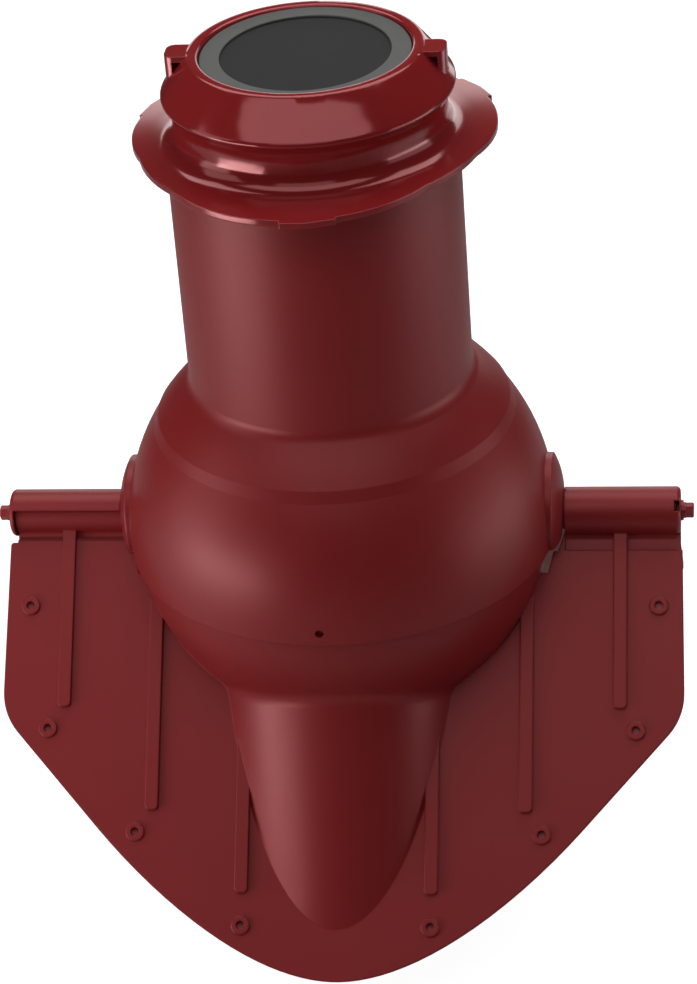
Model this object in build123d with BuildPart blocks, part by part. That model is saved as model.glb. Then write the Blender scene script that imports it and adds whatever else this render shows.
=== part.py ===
from build123d import *
import os
from math import asin, cos, degrees, radians, sin, sqrt, tan

# A roof vent pipe for a ridge. Two plates lie on the roof's slopes and hinge on screws along the ridge.
# Each carries half of a ball, and a hood with the pipe on it turns over that ball to stay upright.
# Millimetres. X runs along the ridge, Z up the pipe, and the origin is the ball's centre on the hinge axis.

# Roof
roof_slope = 48.0           # slope of both plates below level, in degrees
running_gap = 0.4           # between curved faces that turn on each other

# Pipe and hood
pipe_radius = 80.0
pipe_wall = 3.0
pipe_top = 238.0            # height of the pipe's top edge
hood_radius = 123.2         # outside of the spherical hood
hood_wall = 2.2
hood_edge_drop = 11.0       # the hood's lower edge lies this far below the hinge axis
foot_radius = 100.0         # raised foot of the pipe on the hood, measured from the pipe's axis
foot_height = 1.2
foot_slant = 3.0            # the foot falls to the hood over this width
foot_fillet = 10.0          # hollow between pipe and foot
cheek_radius = 29.8         # round cheeks at the hood's two sides
cheek_rise = 4.6            # the cheeks' middle lies this far above the hinge axis
cheek_rim = 122.4           # half the width over the cheeks' rims
cheek_crown = 5.6           # doming of each cheek's face
cheek_flat = 8.0            # half the width of that face's flat middle
cheek_corner = 1.2
cheek_wall = 2.5
lock_hole_radius = 2.5      # hole for a screw that locks the hood to the front plate
lock_hole_height = 8.0      # above the hood's lower edge

# Plates
plate_half_width = 195.2    # of the front plate at the hinge
rear_inset = 3.0            # each side of the rear plate lies this far inside the front one
side_flare = 1.4            # each side runs outwards by this down to the slanted edge
plate_length = 269.5        # from the hinge axis down the slope to the tip
plate_wall = 3.0
plate_drop = 1.0            # the top face lies this far below the hinge axis
flank_angle = 48.4          # of the slanted edges, from the ridge's direction
flank_x = 139.0             # where the slanted edge turns into the nose
flank_t = 183.5
side_corner = 36.0
nose_handle = 47.0          # how far the nose runs level at its tip
flank_handle = 55.0         # how far the nose follows the slanted edge
ball_wall = 2.5
ball_rise = 78.0            # how far the ball half reaches above the plate, in degrees
hub_clearance = 5.5         # of the ball halves round the hinge barrels
spout_radius = 73.3         # of the cone below the ball, where it would pass the ball's centre
spout_draft = 1.7           # half angle of that cone, in degrees
spout_dip = 16.3            # its axis dives below the plate by this angle
spout_fillet = 12.0         # hollow between ball and spout
slot_reach = 36.0           # slot beside the ball that clears the hood's edge, down the slope
slot_gap = 1.0
shallowest_slope = 30.0     # of a roof that the notches for the hood and its cheeks allow, in degrees
notch_gap = 1.5
notch_outset = 1.8          # the notches end this far outside the cheeks' rims

# Ribs and fixing holes of a plate, as distances across and down the slope
rib_width = 7.5
rib_height = 3.0
rib_corner = 2.6
rib_side = 35.0             # from the outer rib's middle to the plate's side
rib_pitch = 53.0
rib_start = [8.0, 50.0, 120.0]
rib_end = [114.1, 173.3, 219.9]
rib_shell_start = 11.0      # start of the outer rib, inside the shell's wall
hole_side = 13.2            # from the upper hole to the plate's side
lower_hole_x = [169.3, 116.4, 54.1]
hole_t = [55.1, 126.6, 185.9, 238.3]
hole_skin = 1.2             # left at the bottom of each hole, for the roofer's screw to break
hole_radius = 2.4
boss_radius = 5.3
boss_height = 1.8
boss_edge = 0.4

# Hinge
shell_radius = 13.7         # half shell over the neighbour's barrel
shell_wall = 1.8
shell_sweep = 193.0         # from the plate over the top to the shell's free edge, in degrees
shell_root = 22.0           # the shell also runs on below the plate, in degrees
shell_blend = 3.0           # hollow between shell and plate
end_setback = 0.7           # of the end walls from the plate's side
end_wall = 2.8
end_corner = 2.6
barrel_gap = 0.8            # between barrel and shell
barrel_blend = 5.0          # hollow between barrel and plate
barrel_bore = 8.0
barrel_plug = 12.0          # solid end that the screw is driven into
barrel_inset = 5.0          # how far the barrel reaches in behind the rim of the hood's cheek
cheek_gap = 0.5             # between a cheek's crown and the hinge
step_reach = 22.9           # step in the plate beside the shell, down the slope
step_depth = 1.8
step_wall = 2.4
groove_reach = 16.2         # the same step beside the barrel
end_notch_reach = 17.7      # notch in the plate for the neighbour's end wall
end_notch_corner = 2.5
window_width = 6.0          # small deep notch in the top of each end wall
window_length = 2.9
window_depth = 9.0
window_skin = 0.6           # left outside the notch
screw_radius = 2.0
screw_bite = 10.0           # how deep the screw sits in the barrel's solid end
screw_clearance = 0.08
washer_radius = 5.9
washer_thickness = 1.5
washer_gap = 0.1            # between a washer and the end wall
flange_radius = 4.6
flange_thickness = 1.3
hex_flats = 7.5
hex_height = 4.6
hex_corner = 0.6

# Cap on the pipe
brim_overhang = 14.3        # of the round brim over the pipe
brim_thickness = 3.4
brim_slope = 6.2            # the brim falls outwards, in degrees
lobe_radius = 80.0          # three lobes stand out of the round brim
lobe_overhang = 8.7         # of each lobe over the round brim
lobe_blend = 12.0
tab_overhang = 2.6          # small stop on each lobe
tab_side = 5.4              # from the lobe's middle to the stop's square side
tab_length = 14.0
tab_ramp = 15.0
tab_ramp_drop = 4.0
cap_wall = 2.6
waist_setback = 6.6         # of the wall's foot from the pipe's outside
waist_fillet = 9.0          # hollow between brim and wall
lip_flare = 6.4             # how far the wall leans outwards up to its top edge
lip_rise = 28.8             # from the brim to that edge
lip_corner = 3.2
shoulder_rise = 20.4        # from that edge to the rim
rim_inset = 16.2            # of the rim from that edge
rim_corner = 2.4
rim_wall = 6.0
rim_bore_corner = 1.6
seal_slope = 1.8            # the seal and its seat fall towards the front, in degrees
seat_depth = 8.6            # of the recess for the seal, below the rim
seat_ledge = 6.0
seat_wall = 4.4
spigot_length = 22.0
spigot_gap = 0.3
ear_overhang = 12.2         # two ears stand out of the rim at the sides, for a rain hat
ear_width = 17.0
ear_top = 3.2
ear_drop = 0.6              # the ears' top lies this far below the rim
ear_wall = 4.6
ear_web = 2.6               # upright wall in the middle of each ear
ear_corner = 5.0

# Seal in the cap
seal_gap = 0.5              # round the seal in its recess
seal_band = 11.0            # width of the seal ring
seal_thickness = 5.8
seal_corner = 0.6
membrane_thickness = 1.6
membrane_drop = 1.5         # below the seal's top
membrane_hold = 2.6         # how far the seal grips the membrane

# Worked out from the sizes above
hood_bore = hood_radius - hood_wall
ball_radius = hood_bore - running_gap
shell_bore = shell_radius - shell_wall
barrel_radius = shell_bore - barrel_gap
pipe_bore = pipe_radius - pipe_wall
cheek_face = cheek_rim + cheek_crown
hinge_start = cheek_face + cheek_gap
hinge_half_length = plate_half_width - end_setback
end_wall_inside = hinge_half_length - end_wall
barrel_end = end_wall_inside - running_gap
barrel_start = cheek_rim - barrel_inset
plate_under = plate_drop + plate_wall
screw_hole = screw_radius + screw_clearance
washer_seat = hinge_half_length + washer_gap
head_seat = washer_seat + washer_thickness
brim_height = pipe_top + brim_thickness
brim_radius = pipe_radius + brim_overhang
lobe_reach = brim_radius + lobe_overhang
tab_reach = lobe_reach + tab_overhang
waist_radius = pipe_radius - waist_setback
lip_radius = waist_radius + lip_flare
rim_radius = lip_radius - rim_inset
rim_bore = rim_radius - rim_wall
ear_reach = rim_radius + ear_overhang
lip_height = brim_height + lip_rise
rim_height = lip_height + shoulder_rise
seat_height = rim_height - seat_depth
seal_radius = rim_bore - seal_gap
seal_bore = seal_radius - seal_band
membrane_top = seal_thickness - membrane_drop
membrane_radius = seal_bore + membrane_hold

front_plane = Plane(origin=(0, 0, 0), x_dir=(1, 0, 0),
                    z_dir=(0, -sin(radians(roof_slope)), cos(radians(roof_slope))))
rear_plane = Plane(origin=(0, 0, 0), x_dir=(-1, 0, 0),
                   z_dir=(0, sin(radians(roof_slope)), cos(radians(roof_slope))))
seat_plane = Plane(origin=(0, 0, seat_height), x_dir=(1, 0, 0),
                   z_dir=(0, -sin(radians(seal_slope)), cos(radians(seal_slope))))


def nearest_corner(sketch, x, y):
    """The corner of a sketch that lies nearest to a point."""
    return sketch.vertices().sort_by_distance((x, y, 0))[0]


def ball_and_spout(plane, ball, cone, corner):
    """Half outline of a ball with a cone growing out of it, for turning about the cone's axis."""
    narrowing = tan(radians(spout_draft))
    root = (narrowing * cone) ** 2 - (1 + narrowing ** 2) * (cone ** 2 - ball ** 2)
    leave = (narrowing * cone + sqrt(root)) / (1 + narrowing ** 2)
    edge = cone - narrowing * leave
    tip = plate_length * cos(radians(spout_dip))
    middle = radians(degrees(asin(edge / ball)) / 2 + 90)
    with BuildSketch(plane) as outline:
        with BuildLine():
            ThreePointArc((-ball, 0), (ball * cos(middle), ball * sin(middle)), (leave, edge))
            Polyline((leave, edge), (tip, cone - narrowing * tip), (tip, 0), (-ball, 0))
        make_face()
        fillet(nearest_corner(outline, leave, edge), corner)
    return outline.sketch


def make_plate(plane, half_width):
    """A roof plate with its ball half, spout, ribs, bosses, hinge barrel and hinge shell."""
    along = plane.x_dir
    down = plane.y_dir * -1
    outward = plane.z_dir
    spout_direction = down * cos(radians(spout_dip)) - outward * sin(radians(spout_dip))
    spout_plane = Plane(origin=(0, 0, 0), x_dir=spout_direction, z_dir=along * -1)
    spout_axis = Axis((0, 0, 0), spout_direction)
    lid_normal = down * sin(radians(ball_rise)) - outward * cos(radians(ball_rise))
    top_plane = plane.offset(-plate_drop)
    corner_x = half_width + side_flare
    corner_t = flank_t - (corner_x - flank_x) * tan(radians(flank_angle))
    handle_x = flank_x - flank_handle * cos(radians(flank_angle))
    handle_t = flank_t + flank_handle * sin(radians(flank_angle))
    notch_reach = hood_edge_drop / sin(radians(shallowest_slope)) + notch_gap
    notch_corner = cheek_rim + cheek_gap + notch_outset
    notch_x = sqrt((hood_radius + slot_gap) ** 2 - notch_reach ** 2)
    slot_x = sqrt((hood_radius + slot_gap) ** 2 - slot_reach ** 2)
    strip_n = -plate_drop - step_depth
    rib_x = [half_width - rib_side - rib_pitch * count for count in range(3)]
    hole_x = [half_width - hole_side, *lower_hole_x]
    boss_top = boss_height - plate_drop

    def across(x):
        """A plane square to the hinge at x along it, with its first axis down the slope."""
        return Plane(origin=along * x, x_dir=down, z_dir=along * -1)

    def top_edges(edges, height):
        """The edges that lie at a height above the hinge axis, square to the plate."""
        return edges.filter_by(lambda edge: all(
            abs(plane.to_local_coords(vertex.center()).Z - height) < 0.01 for vertex in edge.vertices()))

    def blend(start, round_radius, hollow_radius):
        """Outline that fills the corner between a round part of the hinge and the strip below it."""
        middle_n = strip_n + hollow_radius
        middle_t = sqrt((round_radius + hollow_radius) ** 2 - middle_n ** 2)
        with BuildSketch(across(start)) as corner:
            Polygon((0, 0), (middle_t, middle_n), (middle_t, strip_n - step_wall / 2),
                    (0, strip_n - step_wall / 2), align=None)
            with Locations((middle_t, middle_n)):
                Circle(hollow_radius, mode=Mode.SUBTRACT)
        return corner.sketch

    with BuildPart() as plate:
        # Ball half and spout, solid for now
        revolve(ball_and_spout(spout_plane, ball_radius, spout_radius, spout_fillet), axis=spout_axis)
        split(bisect_by=plane.offset(-plate_under), keep=Keep.TOP)
        split(bisect_by=Plane(origin=(0, 0, 0), x_dir=along, z_dir=lid_normal), keep=Keep.TOP)
        with BuildSketch(across(hinge_start)):
            Circle(barrel_radius + hub_clearance)
        extrude(amount=2 * hinge_start, mode=Mode.SUBTRACT)

        # Half shell with its end wall, over the neighbour's barrel
        with BuildSketch(across(end_wall_inside)):
            Circle(shell_radius)
        extrude(amount=-end_wall)
        fillet(plate.edges().group_by(Axis((0, 0, 0), along))[-1], end_corner)
        with BuildSketch(across(hinge_start)):
            with BuildLine():
                outside = CenterArc((0, 0), shell_radius, -shell_root, shell_sweep + shell_root)
                inside = CenterArc((0, 0), shell_bore, -shell_root, shell_sweep + shell_root)
                Line(outside @ 0, inside @ 0)
                Line(outside @ 1, inside @ 1)
            make_face()
        extrude(amount=hinge_start - end_wall_inside)

        # Barrel inside the neighbour's shell
        with BuildSketch(across(-barrel_end)):
            Circle(barrel_radius)
        extrude(amount=barrel_start - barrel_end)
        extrude(blend(-barrel_end, barrel_radius, barrel_blend), amount=hinge_start - barrel_end)
        extrude(blend(hinge_start, shell_radius, shell_blend), amount=hinge_start - end_wall_inside)

        # Sheet, with notches for the hood's edge, its cheeks and the neighbour's end wall
        with BuildSketch(top_plane) as sheet:
            with BuildLine():
                side = Polyline((0, 0), (half_width, 0), (corner_x, -corner_t), (flank_x, -flank_t))
                nose = Bezier((flank_x, -flank_t), (handle_x, -handle_t), (nose_handle, -plate_length),
                              (0, -plate_length))
                mirror(side, about=Plane.YZ)
                mirror(nose, about=Plane.YZ)
            make_face()
            fillet(nearest_corner(sheet, corner_x, -corner_t), side_corner)
            fillet(nearest_corner(sheet, -corner_x, -corner_t), side_corner)
            Polygon((-hinge_start, 0), (-hinge_start, -barrel_radius), (-notch_corner, -notch_reach),
                    (-notch_x, -notch_reach), (-slot_x, -slot_reach), (slot_x, -slot_reach),
                    (notch_x, -notch_reach), (notch_corner, -notch_reach),
                    (hinge_start, -barrel_radius), (hinge_start, 0), align=None, mode=Mode.SUBTRACT)
            with Locations((-corner_x, 0)):
                Rectangle(2 * (corner_x - barrel_end), 2 * end_notch_reach, mode=Mode.SUBTRACT)
            fillet(nearest_corner(sheet, -half_width, -end_notch_reach),
                   min(end_notch_corner, (half_width - barrel_end) / 2))
            with Locations((corner_x, 0)):
                Rectangle(2 * (corner_x - hinge_start), 2 * step_reach, mode=Mode.SUBTRACT)
            with Locations((-corner_x, 0)):
                Rectangle(2 * (corner_x - hinge_start), 2 * groove_reach, mode=Mode.SUBTRACT)
        extrude(amount=-plate_wall)

        # Lower strips beside the shell and the barrel
        with BuildSketch(top_plane.offset(-step_depth)):
            with Locations((hinge_start, -step_reach - step_wall)):
                Rectangle(hinge_half_length - hinge_start, step_reach + step_wall - barrel_radius,
                          align=(Align.MIN, Align.MIN))
            with Locations((-hinge_start, -groove_reach - step_wall)):
                Rectangle(barrel_end - hinge_start, groove_reach + step_wall - barrel_bore,
                          align=(Align.MAX, Align.MIN))
        extrude(amount=-step_wall)

        # Ribs
        with BuildSketch(top_plane.offset(-step_depth)):
            for x, start, end in zip(rib_x, rib_start, rib_end):
                with Locations((-x, -(start + end) / 2)):
                    RectangleRounded(rib_width, end - start, rib_corner)
            for x, start, end in zip(rib_x, [rib_shell_start, *rib_start[1:]], rib_end):
                with Locations((x, -(start + end) / 2)):
                    RectangleRounded(rib_width, end - start, rib_corner)
        extrude(amount=step_depth + rib_height)

        # Bosses
        with BuildSketch(top_plane):
            for x, t in zip(hole_x, hole_t):
                with Locations((x, -t), (-x, -t)):
                    Circle(boss_radius)
        extrude(amount=boss_height)
        fillet(top_edges(plate.edges(Select.LAST), boss_top), boss_edge)

        # Hollows
        revolve(ball_and_spout(spout_plane, ball_radius - ball_wall, spout_radius - ball_wall,
                               spout_fillet + ball_wall), axis=spout_axis, mode=Mode.SUBTRACT)
        with BuildSketch(across(hinge_start)):
            Circle(shell_bore)
        extrude(amount=hinge_start - end_wall_inside, mode=Mode.SUBTRACT)
        with BuildSketch(across(-barrel_end + barrel_plug)):
            Circle(barrel_bore)
        extrude(amount=barrel_start - barrel_end + barrel_plug, mode=Mode.SUBTRACT)

        # Holes for the screws of the hinge and of the roof
        with BuildSketch(across(-barrel_end)):
            Circle(screw_radius)
        extrude(amount=-barrel_plug, mode=Mode.SUBTRACT)
        with BuildSketch(across(end_wall_inside)):
            Circle(screw_hole)
        extrude(amount=-end_wall, mode=Mode.SUBTRACT)
        with BuildSketch(plane.offset(boss_top)):
            for x, t in zip(hole_x, hole_t):
                with Locations((x, -t), (-x, -t)):
                    Circle(hole_radius)
        extrude(amount=hole_skin - boss_height - plate_wall, mode=Mode.SUBTRACT)

        # Notch in the top of the end wall
        with BuildSketch(plane.offset(shell_radius)):
            with Locations((hinge_half_length - window_skin, 0)):
                Rectangle(window_length, window_width, align=(Align.MAX, Align.CENTER))
        extrude(amount=-window_depth, mode=Mode.SUBTRACT)
    return plate


def make_hinge_screw(side):
    """A hexagon screw with a flange, driven into a barrel's end from one side."""
    with BuildPart() as screw:
        with BuildSketch(Plane.YZ.offset(side * (barrel_end - screw_bite))):
            Circle(screw_radius)
        extrude(amount=side * (head_seat - barrel_end + screw_bite))
        with BuildSketch(Plane.YZ.offset(side * head_seat)):
            Circle(flange_radius)
        extrude(amount=side * flange_thickness)
        with BuildSketch(Plane.YZ.offset(side * (head_seat + flange_thickness))):
            RegularPolygon(hex_flats / 2, 6, major_radius=False)
        extrude(amount=side * hex_height)
        chamfer(screw.faces().sort_by(Axis.X)[-1 if side > 0 else 0].edges(), hex_corner)
    return screw


def make_washer(side):
    """A flat washer between a screw's flange and the end wall."""
    with BuildPart() as washer:
        with BuildSketch(Plane.YZ.offset(side * washer_seat)):
            Circle(washer_radius)
            Circle(screw_hole, mode=Mode.SUBTRACT)
        extrude(amount=side * washer_thickness)
    return washer


# Hood with the pipe
foot_outside = hood_radius + foot_height
hood_edge_z = -hood_edge_drop
hood_bore_edge = (sqrt(hood_bore ** 2 - hood_edge_drop ** 2), hood_edge_z)
hood_outer_edge = (sqrt(hood_radius ** 2 - hood_edge_drop ** 2), hood_edge_z)
pipe_bore_foot = (pipe_bore, sqrt(hood_bore ** 2 - pipe_bore ** 2))
pipe_foot = (pipe_radius, sqrt(foot_outside ** 2 - pipe_radius ** 2))
foot_end = foot_radius + foot_slant
foot_edge = (foot_radius, sqrt(foot_outside ** 2 - foot_radius ** 2))
foot_base = (foot_end, sqrt(hood_radius ** 2 - foot_end ** 2))

cheek_axis = Axis((0, 0, cheek_rise), (1, 0, 0))

with BuildPart() as hood_pipe:
    with BuildSketch(Plane.XZ) as hood_wall_outline:
        with BuildLine():
            RadiusArc(hood_bore_edge, pipe_bore_foot, -hood_bore)
            Polyline(pipe_bore_foot, (pipe_bore, pipe_top), (pipe_radius, pipe_top), pipe_foot)
            RadiusArc(pipe_foot, foot_edge, foot_outside)
            Line(foot_edge, foot_base)
            RadiusArc(foot_base, hood_outer_edge, hood_radius)
            Line(hood_outer_edge, hood_bore_edge)
        make_face()
        fillet(nearest_corner(hood_wall_outline, *pipe_foot), foot_fillet)
    revolve(axis=Axis.Z)

    # Cheeks, open below for the hinge barrels
    for side in (1, -1):
        with BuildSketch(Plane.XY.offset(cheek_rise)) as cheek_outline:
            with BuildLine():
                Line((side * cheek_face, 0), (side * cheek_face, cheek_flat))
                TangentArc((side * cheek_face, cheek_flat), (side * cheek_rim, cheek_radius), tangent=(0, 1))
                Polyline((side * cheek_rim, cheek_radius), (side * pipe_radius, cheek_radius),
                         (side * pipe_radius, 0), (side * cheek_face, 0))
            make_face()
            fillet(nearest_corner(cheek_outline, side * cheek_rim, cheek_radius), cheek_corner)
        revolve(axis=cheek_axis)
    Sphere(hood_bore, mode=Mode.SUBTRACT)
    for side in (1, -1):
        with BuildSketch(Plane.XY.offset(cheek_rise)):
            with BuildLine():
                Line((side * (cheek_face - cheek_wall), 0), (side * (cheek_face - cheek_wall), cheek_flat))
                TangentArc((side * (cheek_face - cheek_wall), cheek_flat),
                           (side * (cheek_rim - cheek_wall), cheek_radius - cheek_wall), tangent=(0, 1))
                Polyline((side * (cheek_rim - cheek_wall), cheek_radius - cheek_wall),
                         (side * pipe_radius, cheek_radius - cheek_wall),
                         (side * pipe_radius, 0), (side * (cheek_face - cheek_wall), 0))
            make_face()
        revolve(axis=cheek_axis, mode=Mode.SUBTRACT)
        with BuildSketch(Plane.YZ.offset(side * pipe_radius)):
            Circle(shell_bore)
            Rectangle(2 * shell_bore, cheek_radius, align=(Align.CENTER, Align.MAX))
        extrude(amount=side * (hinge_start - pipe_radius), mode=Mode.SUBTRACT)
    split(bisect_by=Plane.XY.offset(hood_edge_z), keep=Keep.TOP)

    # Hole for the locking screw
    with BuildSketch(Plane.XZ):
        with Locations((0, hood_edge_z + lock_hole_height)):
            Circle(lock_hole_radius)
    extrude(amount=hood_radius, mode=Mode.SUBTRACT)

# Cap
shoulder_run = lip_radius - rim_radius
shoulder_shift = cap_wall * sqrt(shoulder_run ** 2 + shoulder_rise ** 2) / shoulder_rise
ledge_under = seat_height - seat_wall
ledge_bore = rim_bore - seat_ledge
spigot_radius = pipe_bore - spigot_gap
spigot_bore = spigot_radius - cap_wall
brim_blank = tab_reach + brim_thickness
brim_fall = (brim_blank - pipe_radius) * tan(radians(brim_slope))
waist_height = brim_height + (pipe_radius - waist_radius) * tan(radians(brim_slope))
inner_waist = waist_radius - cap_wall
inner_lip = lip_radius - cap_wall


def shoulder_inside(height):
    """Radius of the shoulder's inner face at a height."""
    return lip_radius - shoulder_run * (height - lip_height) / shoulder_rise - shoulder_shift


def shoulder_middle(radius):
    """Height at which the middle of the shoulder's wall lies at a radius."""
    return lip_height + (lip_radius - shoulder_shift / 2 - radius) * shoulder_rise / shoulder_run


inner_lip_height = lip_height + (shoulder_inside(lip_height) - inner_lip) * shoulder_rise / shoulder_run
ear_top_z = rim_height - ear_drop
ear_root = rim_bore + rim_corner
ear_pocket = ear_reach - ear_wall

with BuildPart() as cap:
    with BuildSketch(Plane.XZ) as cap_outline:
        with BuildLine():
            Polyline((spigot_radius, pipe_top - spigot_length), (spigot_radius, pipe_top),
                     (pipe_radius, pipe_top), (brim_blank, pipe_top - brim_fall),
                     (brim_blank, brim_height - brim_fall), (waist_radius, waist_height),
                     (lip_radius, lip_height), (rim_radius, rim_height), (ledge_bore, rim_height),
                     (ledge_bore, ledge_under), (shoulder_inside(ledge_under), ledge_under),
                     (inner_lip, inner_lip_height), (inner_waist, waist_height), (inner_waist, pipe_top),
                     (spigot_bore, pipe_top), (spigot_bore, pipe_top - spigot_length), close=True)
        make_face()
        fillet(nearest_corner(cap_outline, waist_radius, waist_height), waist_fillet)
        fillet(nearest_corner(cap_outline, lip_radius, lip_height), lip_corner)
        fillet(nearest_corner(cap_outline, rim_radius, rim_height), rim_corner)
    revolve(axis=Axis.Z)
    with BuildSketch(seat_plane):
        Circle(rim_bore)
    extrude(amount=2 * seat_depth, mode=Mode.SUBTRACT)
    fillet(cap.edges(Select.LAST).filter_by(GeomType.LINE, reverse=True).sort_by(Axis.Z)[-1], rim_bore_corner)

    # Outline of the brim: a circle with three lobes, each with a stop
    with BuildSketch(Plane.XY.offset(pipe_top - brim_fall - brim_thickness)) as trim:
        Circle(brim_blank + brim_thickness)
        Circle(brim_radius, mode=Mode.SUBTRACT)
        with PolarLocations(lobe_reach - lobe_radius, 3, start_angle=-90):
            Circle(lobe_radius, mode=Mode.SUBTRACT)
        lobe_roots = trim.vertices().filter_by(lambda v: abs(v.center().length - brim_radius) < lobe_blend)
        fillet(lobe_roots, lobe_blend)
        with PolarLocations(0, 3, start_angle=-90):
            Polygon((brim_radius, -tab_side), (tab_reach, -tab_side), (tab_reach, tab_length - tab_side),
                    (tab_reach - tab_ramp_drop, tab_length - tab_side + tab_ramp),
                    (brim_radius, tab_length - tab_side + tab_ramp), align=None, mode=Mode.SUBTRACT)
    extrude(amount=brim_height - pipe_top + brim_fall + brim_thickness, mode=Mode.SUBTRACT)

    # Ears: a top plate that turns down into the shoulder
    for side in (1, -1):
        with BuildSketch(Plane.XZ):
            with BuildLine():
                Polyline((side * ear_reach, shoulder_middle(ear_reach)), (side * ear_reach, ear_top_z),
                         (side * ear_root, ear_top_z), (side * ear_root, ear_top_z - ear_top),
                         (side * ear_pocket, ear_top_z - ear_top), (side * ear_pocket, shoulder_middle(ear_pocket)),
                         close=True)
            make_face()
        extrude(amount=ear_width / 2, both=True)
        with BuildSketch(Plane.XZ):
            Polygon((side * ear_pocket, shoulder_middle(ear_pocket)), (side * ear_pocket, ear_top_z - ear_top),
                    (side * ear_root, ear_top_z - ear_top), (side * ear_root, shoulder_middle(ear_root)),
                    align=None)
        extrude(amount=ear_web / 2, both=True)
    upright_edges = cap.edges().filter_by(Axis.Z)
    ear_ends = upright_edges.filter_by(lambda edge: abs(abs(edge.center().X) - ear_reach) < 0.01)
    fillet(ear_ends, ear_corner)

# Seal and membrane, both sloped like their seat
with BuildPart() as seal_ring:
    seal_cut = Plane(origin=seat_plane.origin, x_dir=seat_plane.x_dir, z_dir=seat_plane.y_dir * -1)
    with BuildSketch(seal_cut) as seal_outline:
        with BuildLine():
            Polyline((seal_bore, 0), (seal_radius, 0), (seal_radius, seal_thickness),
                     (seal_bore, seal_thickness), (seal_bore, membrane_top), (membrane_radius, membrane_top),
                     (membrane_radius, membrane_top - membrane_thickness),
                     (seal_bore, membrane_top - membrane_thickness), close=True)
        make_face()
        fillet(nearest_corner(seal_outline, seal_radius, seal_thickness), seal_corner)
        fillet(nearest_corner(seal_outline, seal_bore, seal_thickness), seal_corner)
    revolve(axis=Axis(seat_plane.origin, seat_plane.z_dir))

with BuildPart() as membrane_disc:
    with BuildSketch(seat_plane.offset(membrane_top - membrane_thickness)):
        Circle(membrane_radius)
    extrude(amount=membrane_thickness)

front_plate = make_plate(front_plane, plate_half_width)
rear_plate = make_plate(rear_plane, plate_half_width - rear_inset)
hinge_screw_right = make_hinge_screw(1)
hinge_screw_left = make_hinge_screw(-1)
washer_right = make_washer(1)
washer_left = make_washer(-1)

pieces = {
    "hood_pipe": hood_pipe,
    "cap": cap,
    "seal_ring": seal_ring,
    "membrane_disc": membrane_disc,
    "front_plate": front_plate,
    "rear_plate": rear_plate,
    "hinge_screw_right": hinge_screw_right,
    "hinge_screw_left": hinge_screw_left,
    "washer_right": washer_right,
    "washer_left": washer_left,
}
os.makedirs("parts", exist_ok=True)
for label, piece in pieces.items():
    piece.part.label = label
    export_step(piece.part, f"parts/{label}.step")
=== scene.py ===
import bmesh
import bpy
from math import cos, pi, radians, sin
from mathutils import Matrix, Vector


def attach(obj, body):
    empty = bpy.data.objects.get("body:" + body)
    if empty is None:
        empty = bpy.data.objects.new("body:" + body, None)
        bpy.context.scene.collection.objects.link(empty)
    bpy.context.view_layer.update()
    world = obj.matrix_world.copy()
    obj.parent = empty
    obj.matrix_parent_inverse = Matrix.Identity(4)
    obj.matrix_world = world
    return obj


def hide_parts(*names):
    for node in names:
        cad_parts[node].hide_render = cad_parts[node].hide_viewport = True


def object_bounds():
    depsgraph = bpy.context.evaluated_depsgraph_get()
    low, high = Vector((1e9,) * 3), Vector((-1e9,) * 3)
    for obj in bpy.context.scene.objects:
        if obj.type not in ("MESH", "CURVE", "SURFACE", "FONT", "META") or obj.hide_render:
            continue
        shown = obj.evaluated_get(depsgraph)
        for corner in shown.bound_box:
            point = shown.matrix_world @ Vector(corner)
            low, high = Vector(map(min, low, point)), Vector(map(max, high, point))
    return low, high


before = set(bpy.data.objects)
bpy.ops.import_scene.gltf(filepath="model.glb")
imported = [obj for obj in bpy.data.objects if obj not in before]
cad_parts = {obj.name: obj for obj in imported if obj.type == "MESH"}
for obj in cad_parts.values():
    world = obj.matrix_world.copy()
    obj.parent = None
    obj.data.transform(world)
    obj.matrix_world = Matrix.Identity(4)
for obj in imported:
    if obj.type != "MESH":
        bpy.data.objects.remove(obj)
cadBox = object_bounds()
print("frame loaded:", ", ".join(sorted(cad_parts)))

scene = bpy.context.scene
scene.view_settings.view_transform = "Standard"

# Camera, set to the photograph's view
viewpoint = {
    "azimuth": 8.411,          # degrees to the right of the front
    "elevation": 31.023,       # degrees above level
    "roll": -4.622,            # degrees, the picture leans a little
    "distance": 1.887573,      # metres from the target
    "target": (0.00415, 0.0, 0.013078),
    "focalPixels": 3276.656,
    "framePixels": (697, 984),
    "sensor": 36.0,            # millimetres along the frame's long side
    "clipEnd": 20.0,           # metres, how far the camera sees
}


def placeCamera(settings):
    turn = radians(settings["azimuth"])
    rise = radians(settings["elevation"])
    lean = radians(settings["roll"])
    back = Vector((sin(turn) * cos(rise), -cos(turn) * cos(rise), sin(rise)))
    level = Vector((cos(turn), sin(turn), 0))
    upright = back.cross(level)
    right = level * cos(lean) + upright * sin(lean)
    up = upright * cos(lean) - level * sin(lean)
    place = Vector(settings["target"]) + back * settings["distance"]
    camera = bpy.data.objects.new("photoCamera", bpy.data.cameras.new("photoCamera"))
    camera.data.sensor_width = settings["sensor"]
    camera.data.lens = settings["focalPixels"] * settings["sensor"] / max(settings["framePixels"])
    camera.data.clip_end = settings["clipEnd"]
    camera.matrix_world = Matrix.Translation(place) @ Matrix((right, up, back)).transposed().to_4x4()
    scene.collection.objects.link(camera)
    scene.camera = camera


placeCamera(viewpoint)
print("camera placed")

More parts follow.
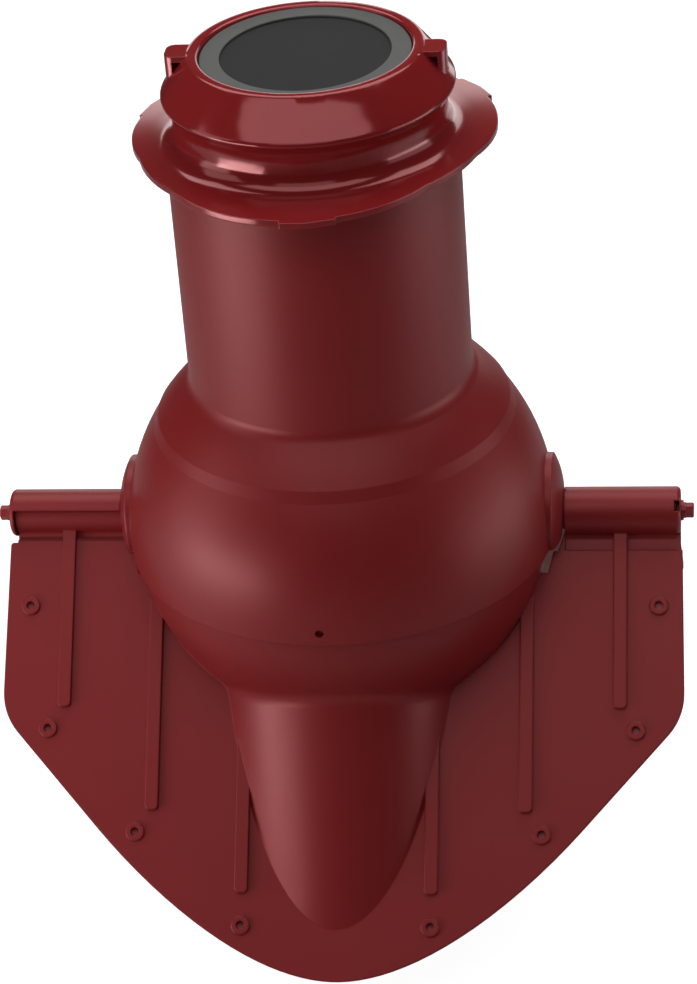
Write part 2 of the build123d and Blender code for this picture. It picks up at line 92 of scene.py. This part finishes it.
# Light: large soft boxes round the object, on a white surround
softBoxes = {
    # name: place of its middle, point it faces, width, height, watts
    "overFront": ((0.0, -0.58, 0.95), (0.0, -0.58, 0.0), 1.4, 0.42, 3.4),
    "overBack": ((0.0, 0.35, 0.95), (0.0, 0.35, 0.0), 1.5, 0.76, 9.6),
    "frontHigh": ((0.0, -1.0, 0.9), (0.0, 0.0, 0.1), 0.9, 0.4, 1.1),
    "leftBox": ((-1.16, -0.31, 0.05), (0.0, 0.0, 0.05), 0.6, 0.55, 1.7),
    "leftHigh": ((-1.1, -0.4, 0.6), (0.0, 0.0, 0.1), 0.7, 0.5, 1.3),
    "leftFloorBox": ((-0.75, -0.55, -0.11), (0.0, 0.0, 0.0), 0.7, 0.16, 3.0),
    "rightBox": ((1.2, 0.0, 0.06), (0.0, 0.0, 0.05), 1.0, 0.55, 1.5),
    "rightFloorBox": ((1.1, 0.0, -0.1), (0.0, 0.0, 0.0), 0.9, 0.2, 1.3),
    "backBox": ((0.0, 1.25, 0.35), (0.0, 0.0, 0.05), 1.3, 0.6, 4.4),
}


def addSoftBox(name, place, target, width, height, watts):
    lamp = bpy.data.lights.new(name, "AREA")
    lamp.shape = "RECTANGLE"
    lamp.size = width
    lamp.size_y = height
    lamp.energy = watts
    box = bpy.data.objects.new(name, lamp)
    box.location = place
    back = Vector(place) - Vector(target)
    box.rotation_euler = back.to_track_quat("Z", "Y").to_euler()
    box.visible_camera = False
    scene.collection.objects.link(box)


for boxName, values in softBoxes.items():
    addSoftBox(boxName, *values)

surround = {
    "level": 0.02,             # plain light from all sides
    "glossLevel": 0.02,        # what glossy surfaces reflect of it
    "white": 1.0,              # background that the camera sees
}


def addSurround(settings):
    world = bpy.data.worlds.new("surround")
    scene.world = world
    world.use_nodes = True
    tree = world.node_tree
    tree.nodes.clear()
    output = tree.nodes.new("ShaderNodeOutputWorld")
    path = tree.nodes.new("ShaderNodeLightPath")
    shades = {}
    for shade in ("level", "glossLevel", "white"):
        shades[shade] = tree.nodes.new("ShaderNodeBackground")
        shades[shade].name = shade
        shades[shade].inputs["Color"].default_value = (1, 1, 1, 1)
        shades[shade].inputs["Strength"].default_value = settings[shade]
    glossy = tree.nodes.new("ShaderNodeMixShader")
    tree.links.new(path.outputs["Is Glossy Ray"], glossy.inputs[0])
    tree.links.new(shades["level"].outputs[0], glossy.inputs[1])
    tree.links.new(shades["glossLevel"].outputs[0], glossy.inputs[2])
    seen = tree.nodes.new("ShaderNodeMixShader")
    tree.links.new(path.outputs["Is Camera Ray"], seen.inputs[0])
    tree.links.new(glossy.outputs[0], seen.inputs[1])
    tree.links.new(shades["white"].outputs[0], seen.inputs[2])
    tree.links.new(seen.outputs[0], output.inputs["Surface"])


addSurround(surround)

# Floor under the plates
floorLook = {
    "size": 30.0,              # metres along each side
    "drop": 0.036,             # metres under the plates at rest, room for the steepest roof
    "colour": 0.5,             # grey of the floor itself
    "seenWhite": 0.93,         # white that the camera sees of it, added to the shaded part
    "seenShade": 0.4,          # how much of the light and shadow on it the camera sees
}


def addFloor(settings, height):
    mesh = bpy.data.meshes.new("floor")
    half = settings["size"] / 2
    corners = [(-half, -half, height), (half, -half, height), (half, half, height), (-half, half, height)]
    mesh.from_pydata(corners, [], [(0, 1, 2, 3)])
    floor = bpy.data.objects.new("floor", mesh)
    scene.collection.objects.link(floor)
    material = bpy.data.materials.new("paleFloor")
    material.use_nodes = True
    tree = material.node_tree
    tree.nodes.clear()
    output = tree.nodes.new("ShaderNodeOutputMaterial")
    path = tree.nodes.new("ShaderNodeLightPath")
    pale = tree.nodes.new("ShaderNodeBsdfDiffuse")
    pale.inputs["Color"].default_value = (settings["colour"],) * 3 + (1,)
    shade = tree.nodes.new("ShaderNodeBsdfDiffuse")
    shade.inputs["Color"].default_value = (settings["seenShade"],) * 3 + (1,)
    white = tree.nodes.new("ShaderNodeEmission")
    white.inputs["Strength"].default_value = settings["seenWhite"]
    seen = tree.nodes.new("ShaderNodeAddShader")
    mix = tree.nodes.new("ShaderNodeMixShader")
    tree.links.new(shade.outputs[0], seen.inputs[0])
    tree.links.new(white.outputs[0], seen.inputs[1])
    tree.links.new(path.outputs["Is Camera Ray"], mix.inputs[0])
    tree.links.new(pale.outputs[0], mix.inputs[1])
    tree.links.new(seen.outputs[0], mix.inputs[2])
    tree.links.new(mix.outputs[0], output.inputs["Surface"])
    mesh.materials.append(material)


addFloor(floorLook, cadBox[0][2] - floorLook["drop"])
print("light and floor set")


# Materials
def newMaterial(name):
    material = bpy.data.materials.new(name)
    material.use_nodes = True
    tree = material.node_tree
    shader = tree.nodes["Principled BSDF"]
    return material, tree, shader


def dress(nodeName, material):
    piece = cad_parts[nodeName]
    piece.data.materials.clear()
    piece.data.materials.append(material)
    for polygon in piece.data.polygons:
        polygon.material_index = 0


# The cap's wall stands upright up to its flared lip, as in the photograph
capShape = {
    "foot": 0.242,             # metres above the hinge line, where the change starts
    "lip": 0.2687,             # and where it ends
    "reach": 0.0802,           # only the wall inside this radius moves
    "depth": 0.0026,           # furthest that the wall moves inwards
    "cuts": 9,                 # rings cut into the wall
    "cutShare": 0.6,           # upper share of the change that gets the rings
    "weld": 0.000001,          # metres, nearer points become one
    "crease": 30.0,            # degrees, sharper edges stay sharp
}


def reshapedCap(settings):
    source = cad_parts["cap"]
    shape = bmesh.new()
    shape.from_mesh(source.data)
    shape.transform(source.matrix_world)
    bmesh.ops.remove_doubles(shape, verts=shape.verts[:], dist=settings["weld"])
    rise = settings["lip"] - settings["foot"]
    for i in range(settings["cuts"]):
        height = settings["lip"] - rise * settings["cutShare"] * (i + 0.5) / settings["cuts"]
        everything = shape.verts[:] + shape.edges[:] + shape.faces[:]
        bmesh.ops.bisect_plane(shape, geom=everything, dist=settings["weld"],
                               plane_co=(0, 0, height), plane_no=(0, 0, 1))
    for vertex in shape.verts:
        reach = vertex.co.xy.length
        along = (vertex.co.z - settings["foot"]) / rise
        if 0 < along < 1 and reach < settings["reach"]:
            keep = 1 - settings["depth"] * sin(pi * along ** 2) / reach
            vertex.co.x *= keep
            vertex.co.y *= keep
    shape.verts.index_update()
    mesh = bpy.data.meshes.new("shapedCap")
    points = [vertex.co[:] for vertex in shape.verts]
    faces = [[vertex.index for vertex in face.verts] for face in shape.faces]
    mesh.from_pydata(points, [], faces)
    shape.free()
    mesh.shade_smooth()
    mesh.set_sharp_from_angle(angle=radians(settings["crease"]))
    cap = bpy.data.objects.new("shapedCap", mesh)
    scene.collection.objects.link(cap)
    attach(cap, "pipe")
    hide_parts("cap")
    return cap


# Finish that all the moulded materials share
finish = {
    "cloudRange": (0.3, 0.7),  # part of the clouds that spreads the colour and the shine
    "cloudDetail": 4.0,
    "shineSpread": 0.08,       # share by which the roughness varies
    "edgeSamples": 6,
    "grainDepth": 0.0003,      # metres
}


def moulded(look):
    material, tree, shader = newMaterial(look["name"])
    nodes, links = tree.nodes, tree.links
    shader.inputs["Specular IOR Level"].default_value = look["gloss"]
    shader.inputs["Specular Tint"].default_value = (*look["tint"], 1)
    place = nodes.new("ShaderNodeTexCoord")
    clouds = nodes.new("ShaderNodeTexNoise")
    clouds.inputs["Scale"].default_value = look["cloudScale"]
    clouds.inputs["Detail"].default_value = finish["cloudDetail"]
    start, end = finish["cloudRange"]
    ramp = nodes.new("ShaderNodeValToRGB")
    low, high = ramp.color_ramp.elements
    low.position = start
    high.position = end
    low.color = (*[c * (1 - look["mottle"]) for c in look["colour"]], 1)
    high.color = (*[c * (1 + look["mottle"]) for c in look["colour"]], 1)
    shine = nodes.new("ShaderNodeMapRange")
    shine.inputs["From Min"].default_value = start
    shine.inputs["From Max"].default_value = end
    shine.inputs["To Min"].default_value = look["roughness"] * (1 - finish["shineSpread"])
    shine.inputs["To Max"].default_value = look["roughness"] * (1 + finish["shineSpread"])
    # Moulded edges are never knife sharp
    soften = nodes.new("ShaderNodeBevel")
    soften.samples = finish["edgeSamples"]
    soften.inputs["Radius"].default_value = look["edge"]
    grain = nodes.new("ShaderNodeTexNoise")
    grain.inputs["Scale"].default_value = look["grainScale"]
    bump = nodes.new("ShaderNodeBump")
    bump.inputs["Strength"].default_value = look["grain"]
    bump.inputs["Distance"].default_value = finish["grainDepth"]
    links.new(place.outputs["Object"], clouds.inputs["Vector"])
    links.new(place.outputs["Object"], grain.inputs["Vector"])
    links.new(clouds.outputs["Fac"], ramp.inputs["Fac"])
    links.new(clouds.outputs["Fac"], shine.inputs["Value"])
    links.new(ramp.outputs["Color"], shader.inputs["Base Color"])
    links.new(shine.outputs["Result"], shader.inputs["Roughness"])
    links.new(soften.outputs["Normal"], bump.inputs["Normal"])
    links.new(grain.outputs["Fac"], bump.inputs["Height"])
    links.new(bump.outputs["Normal"], shader.inputs["Normal"])
    return material


wineRed = (0.208, 0.0125, 0.0138)
redGleam = (1.0, 0.4, 0.41)        # the red plastic tints what it reflects
plainGleam = (1.0, 1.0, 1.0)

pipeLook = {
    "name": "satinPlastic",
    "colour": wineRed,
    "mottle": 0.04,            # share by which the colour varies
    "cloudScale": 9.0,         # higher makes the variation finer
    "gloss": 0.68,
    "tint": redGleam,
    "roughness": 0.42,
    "edge": 0.0006,            # metres, radius at which edges look rounded
    "grain": 0.05,
    "grainScale": 900.0,
}
capLook = {**pipeLook, "name": "glossPlastic", "gloss": 1.0, "roughness": 0.13, "edge": 0.0009, "grain": 0.02}
plateLook = {**pipeLook, "name": "platePlastic", "edge": 0.0013}
# Painted light: a pale red for the hole floors, standing in for the light seen there
holeLightLook = {**pipeLook, "name": "holeFloorLight", "colour": (0.42, 0.085, 0.095)}
ringLook = {
    "name": "greyRubber",
    "colour": (0.066, 0.067, 0.064),
    "mottle": 0.12,
    "cloudScale": 22.0,
    "gloss": 0.4,
    "tint": plainGleam,
    "roughness": 0.6,
    "edge": 0.0006,
    "grain": 0.08,
    "grainScale": 1300.0,
}
discLook = {
    "name": "blackRubber",
    "colour": (0.013, 0.013, 0.013),
    "mottle": 0.4,
    "cloudScale": 60.0,
    "gloss": 0.35,
    "tint": plainGleam,
    "roughness": 0.85,
    "edge": 0.0004,
    "grain": 0.25,
    "grainScale": 1600.0,
}
screwLook = {
    "name": "coatedSteel",
    "colour": (0.26, 0.025, 0.03),
    "mottle": 0.05,
    "cloudScale": 60.0,
    "gloss": 0.8,
    "tint": redGleam,
    "roughness": 0.3,
    "edge": 0.0003,
    "grain": 0.05,
    "grainScale": 1500.0,
}

# Floors of the blind screw holes, a thin skin, get a paler red: painted light that stands in for the
# brightness seen in them
holeLightSpots = {
    "slope": 48.0,                                   # degrees that the plates fall
    "depth": (-0.0035, -0.002),                      # metres along the plate's outward direction
    "facing": 0.99,                                  # how squarely a floor faces outwards
    "radius": 0.0024,                                # metres
    "along": (0.0551, 0.1266, 0.1859, 0.2383),       # down the slope from the ridge
    "front_plate": (0.182, 0.1693, 0.1164, 0.0541),  # to each side of the middle
    "rear_plate": (0.179, 0.1693, 0.1164, 0.0541),
}


def paintHoleFloorLight(nodeName, side, settings, material):
    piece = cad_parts[nodeName]
    piece.data.materials.append(material)
    slope = radians(settings["slope"])
    out = Vector((0, side * sin(slope), cos(slope)))
    down = Vector((0, side * cos(slope), -sin(slope)))
    lowest, highest = settings["depth"]
    count = 0
    for polygon in piece.data.polygons:
        middle = piece.matrix_world @ polygon.center
        if polygon.normal.dot(out) < settings["facing"] or not lowest < middle.dot(out) < highest:
            continue
        for across, along in zip(settings[nodeName], settings["along"]):
            apart = (abs(middle.x) - across, middle.dot(down) - along)
            if Vector(apart).length < settings["radius"]:
                polygon.material_index = 1
                count += 1
    print(nodeName, "hole floors painted, faces:", count)


satinPlastic = moulded(pipeLook)
holeFloorLight = moulded(holeLightLook)
coatedSteel = moulded(screwLook)
platePlastic = moulded(plateLook)
dress("hood_pipe", satinPlastic)
dress("front_plate", platePlastic)
dress("rear_plate", platePlastic)
reshapedCap(capShape).data.materials.append(moulded(capLook))
dress("seal_ring", moulded(ringLook))
dress("membrane_disc", moulded(discLook))
for nodeName in ("hinge_screw_right", "hinge_screw_left", "washer_right", "washer_left"):
    dress(nodeName, coatedSteel)
# Painted light: the hole floors get the pale red
paintHoleFloorLight("front_plate", -1, holeLightSpots, holeFloorLight)
paintHoleFloorLight("rear_plate", 1, holeLightSpots, holeFloorLight)
print("materials given")
